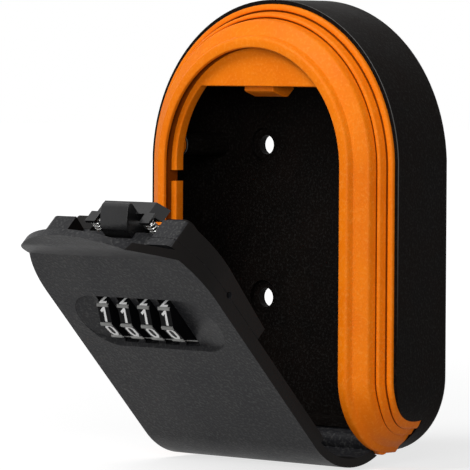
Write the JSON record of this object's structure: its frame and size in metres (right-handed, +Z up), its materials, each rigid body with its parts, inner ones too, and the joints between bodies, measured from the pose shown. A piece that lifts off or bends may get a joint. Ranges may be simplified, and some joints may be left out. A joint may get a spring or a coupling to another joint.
{
  "type": "combination key box",
  "caption": "Wall key box with an arched front frame, a drop-down door on a bottom hinge, number wheels and a sprung latch.",
  "frame": {"origin": "middle of the back face, at the centre of the wall screw pattern", "axes": "+Z up, -Y out of the wall toward the user, +X to the viewer's right"},
  "size_m": [0.085, 0.0977, 0.1179],
  "materials": {
    "shell": "black powder coat, fine texture",
    "frame": "orange paint, satin",
    "door": "dark grey powder coat, fine texture",
    "inner": "black coat, satin",
    "dial": "black with white numbers and light ridges",
    "latch": "black lacquer on cast metal, satin",
    "steel": "bright steel",
    "spring": "bright spring steel",
    "screw": "dark zinc plate",
    "brass": "turned brass"
  },
  "bodies": {
    "case": {"back_shell": "shell", "front_frame": "frame", "frame_screws": "screw", "hinge_pin": "steel"},
    "door": {"door_cover": "door", "inner_case": "inner", "lock_housing": "inner", "case_screws": "screw", "dial_spindle": "steel", "detent_spring": "spring", "latch_springs": "spring", "change_spring": "spring"},
    "latch": {"latch": "latch", "finger_plate": "steel"},
    "wheel_1": {"dial_wheel_1": "dial"},
    "wheel_2": {"dial_wheel_2": "dial"},
    "wheel_3": {"dial_wheel_3": "dial"},
    "wheel_4": {"dial_wheel_4": "dial"},
    "cam_1": {"cam_sleeve_1": "brass"},
    "cam_2": {"cam_sleeve_2": "brass"},
    "cam_3": {"cam_sleeve_3": "brass"},
    "cam_4": {"cam_sleeve_4": "brass"},
    "change": {"change_plate": "steel"}
  },
  "joints": [
    {"name": "door_hinge", "type": "hinge", "parent": "case", "child": "door", "pos_m": [0, -0.0108, -0.05515], "axis": [1, 0, 0], "range_deg": [-43.8, 0]},
    {"name": "latch_slide", "type": "slide", "parent": "door", "child": "latch", "axis": [0, -0.6921, 0.7218], "range_m": [-0.0016, 0], "stiffness_N_per_m": 250, "springref_m": 0.004, "deforming": ["latch_springs"]},
    {"name": "dial_1", "type": "hinge", "parent": "door", "child": "wheel_1", "pos_m": [-0.01219, -0.06105, -0.01951], "axis": [1, 0, 0], "continuous": true, "deforming": ["detent_spring"]},
    {"name": "dial_2", "type": "hinge", "parent": "door", "child": "wheel_2", "pos_m": [-0.00513, -0.06105, -0.01951], "axis": [1, 0, 0], "continuous": true, "deforming": ["detent_spring"]},
    {"name": "dial_3", "type": "hinge", "parent": "door", "child": "wheel_3", "pos_m": [0.00193, -0.06105, -0.01951], "axis": [1, 0, 0], "continuous": true, "deforming": ["detent_spring"]},
    {"name": "dial_4", "type": "hinge", "parent": "door", "child": "wheel_4", "pos_m": [0.00899, -0.06105, -0.01951], "axis": [1, 0, 0], "continuous": true, "deforming": ["detent_spring"]},
    {"name": "code_change", "type": "slide", "parent": "door", "child": "change", "axis": [-1, 0, 0], "range_m": [0, 0.0014], "stiffness_N_per_m": 200, "springref_m": -0.003, "deforming": ["change_spring"]},
    {"name": "cam_shift_1", "type": "slide", "parent": "wheel_1", "child": "cam_1", "axis": [-1, 0, 0], "range_m": [0, 0.0014]},
    {"name": "cam_shift_2", "type": "slide", "parent": "wheel_2", "child": "cam_2", "axis": [-1, 0, 0], "range_m": [0, 0.0014]},
    {"name": "cam_shift_3", "type": "slide", "parent": "wheel_3", "child": "cam_3", "axis": [-1, 0, 0], "range_m": [0, 0.0014]},
    {"name": "cam_shift_4", "type": "slide", "parent": "wheel_4", "child": "cam_4", "axis": [-1, 0, 0], "range_m": [0, 0.0014]}
  ],
  "couplings": [
    {"joint": "cam_shift_1", "follows": "code_change", "ratio": 1},
    {"joint": "cam_shift_2", "follows": "code_change", "ratio": 1},
    {"joint": "cam_shift_3", "follows": "code_change", "ratio": 1},
    {"joint": "cam_shift_4", "follows": "code_change", "ratio": 1}
  ]
}
